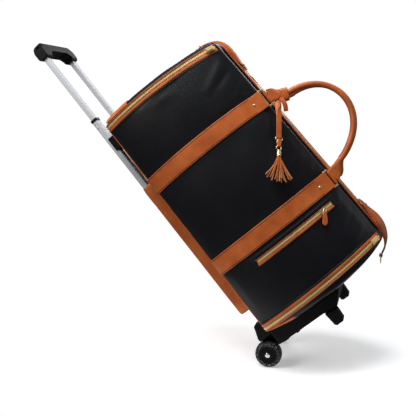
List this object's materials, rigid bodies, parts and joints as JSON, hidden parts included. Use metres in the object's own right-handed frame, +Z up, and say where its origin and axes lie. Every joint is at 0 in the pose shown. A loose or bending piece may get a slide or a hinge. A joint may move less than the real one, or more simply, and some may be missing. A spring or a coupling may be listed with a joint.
{
  "type": "rolling garment duffel bag",
  "caption": "Leather garment duffel on a two-wheel trolley: telescoping tow handle, rolled carry handles, zipped ends and pocket, tassel.",
  "frame": {"origin": "on the floor under the middle of the plan, with the bag standing upright on its wheels and front feet", "axes": "+Z up along the trolley tubes, -Y towards the carry handles, +Y towards the trolley tubes and wheels, +X to the bag's right"},
  "size_m": [0.3084, 0.5104, 0.929],
  "materials": {
    "black_leather": "soft satin, finely grained",
    "tan_leather": "smooth semi-gloss",
    "gold_metal": "polished",
    "aluminium": "satin anodised",
    "steel": "bright",
    "black_plastic": "satin moulded",
    "button_plastic": "satin",
    "wheel_plastic": "semi-gloss",
    "tyre_rubber": "matt, worn",
    "lining": "woven"
  },
  "bodies": {
    "bag": {"side_panel_left": "black_leather", "side_panel_right": "black_leather", "base_panel": "black_leather", "end_panel_top": "black_leather", "end_panel_bottom": "black_leather", "gusset_left": "black_leather", "gusset_right": "black_leather", "pocket_pouch": "lining", "pocket_welt": "black_leather", "straps_left": "tan_leather", "straps_right": "tan_leather", "end_patches": "tan_leather", "edge_piping": "tan_leather", "rivets": "gold_metal", "end_tab_top": "tan_leather", "end_tab_bottom": "tan_leather", "end_zip_tapes": "tan_leather", "end_zip_teeth": "gold_metal", "ridge_zip_tape": "tan_leather", "ridge_zip_teeth": "gold_metal", "pocket_zip_tape": "tan_leather", "pocket_zip_teeth": "gold_metal", "handle_rings": "gold_metal", "trolley_sleeve": "tan_leather", "top_bracket": "black_plastic", "outer_tubes": "aluminium", "tube_collars": "black_plastic", "base_tray": "black_plastic", "front_feet": "black_plastic", "wheel_arms": "black_plastic", "axles": "steel"},
    "tow_handle": {"inner_tubes": "aluminium", "grip": "black_plastic", "button_spring": "steel"},
    "release_button": {"release_button": "button_plastic", "push_rods": "steel"},
    "lock_pin_left": {"lock_pin_left": "steel"},
    "lock_pin_right": {"lock_pin_right": "steel"},
    "wheel_left": {"wheel_left": "wheel_plastic", "tyre_left": "tyre_rubber"},
    "wheel_right": {"wheel_right": "wheel_plastic", "tyre_right": "tyre_rubber"},
    "handle_left": {"handle_left": "tan_leather", "handle_keeper": "tan_leather"},
    "handle_right": {"handle_right": "tan_leather"},
    "tassel_knot": {"tassel_knot": "tan_leather"},
    "tassel": {"tassel_strap": "tan_leather", "tassel_buckle": "gold_metal", "tassel_cap": "gold_metal", "tassel_fringe": "tan_leather"},
    "slider_top_left": {"slider_top_left": "gold_metal"},
    "slider_top_right": {"slider_top_right": "gold_metal"},
    "slider_bottom_left": {"slider_bottom_left": "gold_metal"},
    "slider_bottom_right": {"slider_bottom_right": "gold_metal"},
    "ridge_slider": {"ridge_slider": "gold_metal"},
    "pocket_slider": {"pocket_slider": "gold_metal"},
    "pocket_pull": {"pocket_pull": "tan_leather"},
    "d_ring_top": {"d_ring_top": "gold_metal"},
    "d_ring_bottom": {"d_ring_bottom": "gold_metal"}
  },
  "joints": [
    {"name": "tow_slide", "type": "slide", "parent": "bag", "child": "tow_handle", "axis": [0, 0, 1], "range_m": [-0.18, 0]},
    {"name": "button_press", "type": "slide", "parent": "tow_handle", "child": "release_button", "axis": [0, 0, -1], "range_m": [0, 0.005], "stiffness_N_per_m": 600, "springref_m": -0.003, "deforming": ["button_spring"]},
    {"name": "lock_left", "type": "slide", "parent": "tow_handle", "child": "lock_pin_left", "axis": [1, 0, 0], "range_m": [0, 0.003]},
    {"name": "lock_right", "type": "slide", "parent": "tow_handle", "child": "lock_pin_right", "axis": [-1, 0, 0], "range_m": [0, 0.003]},
    {"name": "wheel_left_spin", "type": "hinge", "parent": "bag", "child": "wheel_left", "pos_m": [-0.083, 0.223, 0.03], "axis": [1, 0, 0], "continuous": true},
    {"name": "wheel_right_spin", "type": "hinge", "parent": "bag", "child": "wheel_right", "pos_m": [0.083, 0.223, 0.03], "axis": [1, 0, 0], "continuous": true},
    {"name": "handle_left_swing", "type": "hinge", "parent": "bag", "child": "handle_left", "pos_m": [-0.04502, -0.13109, 0.369], "axis": [0, 0, 1], "range_deg": [-55, 3]},
    {"name": "handle_right_swing", "type": "hinge", "parent": "bag", "child": "handle_right", "pos_m": [0.04502, -0.13109, 0.369], "axis": [0, 0, 1], "range_deg": [-3, 100]},
    {"name": "tassel_turn", "type": "hinge", "parent": "handle_left", "child": "tassel_knot", "pos_m": [-0.058, -0.14, 0.452], "axis": [0, 0, 1], "range_deg": [-3, 55]},
    {"name": "tassel_swing", "type": "hinge", "parent": "tassel_knot", "child": "tassel", "pos_m": [-0.058, -0.14, 0.452], "axis": [-0.766, -0.6428, 0], "range_deg": [-15, 47]},
    {"name": "top_zip_left", "type": "hinge", "parent": "bag", "child": "slider_top_left", "pos_m": [0.101, 0.0805, 0.645], "axis": [0, -0.0297, 0.9996], "range_deg": [-61, 0]},
    {"name": "top_zip_right", "type": "hinge", "parent": "bag", "child": "slider_top_right", "pos_m": [-0.101, 0.0805, 0.645], "axis": [0, -0.0297, 0.9996], "range_deg": [0, 61]},
    {"name": "bottom_zip_left", "type": "hinge", "parent": "bag", "child": "slider_bottom_left", "pos_m": [0.101, 0.0805, 0.088], "axis": [0, 0.0209, 0.9998], "range_deg": [-67, 0]},
    {"name": "bottom_zip_right", "type": "hinge", "parent": "bag", "child": "slider_bottom_right", "pos_m": [-0.101, 0.0805, 0.088], "axis": [0, 0.0209, 0.9998], "range_deg": [0, 67]},
    {"name": "ridge_zip", "type": "slide", "parent": "bag", "child": "ridge_slider", "axis": [0, -0.0332, -0.9995], "range_m": [0, 0.33]},
    {"name": "pocket_zip", "type": "hinge", "parent": "bag", "child": "pocket_slider", "pos_m": [0.101, 0.0805, 0.213], "axis": [0, 0, 1], "range_deg": [-38, 0]},
    {"name": "pull_swing", "type": "hinge", "parent": "pocket_slider", "child": "pocket_pull", "pos_m": [-0.09829, -0.08414, 0.213], "axis": [-0.7709, -0.6369, 0], "range_deg": [-30, 60]},
    {"name": "d_ring_top_swing", "type": "hinge", "parent": "bag", "child": "d_ring_top", "pos_m": [0, -0.077, 0.674], "axis": [1, 0, 0], "range_deg": [-20, 100]},
    {"name": "d_ring_bottom_swing", "type": "hinge", "parent": "bag", "child": "d_ring_bottom", "pos_m": [0, -0.102, 0.0495], "axis": [1, 0, 0], "range_deg": [-50, 50]}
  ],
  "couplings": [
    {"joint": "lock_left", "follows": "button_press", "ratio": 0.6},
    {"joint": "lock_right", "follows": "button_press", "ratio": 0.6},
    {"joint": "tassel_turn", "follows": "handle_left_swing", "ratio": -1}
  ]
}
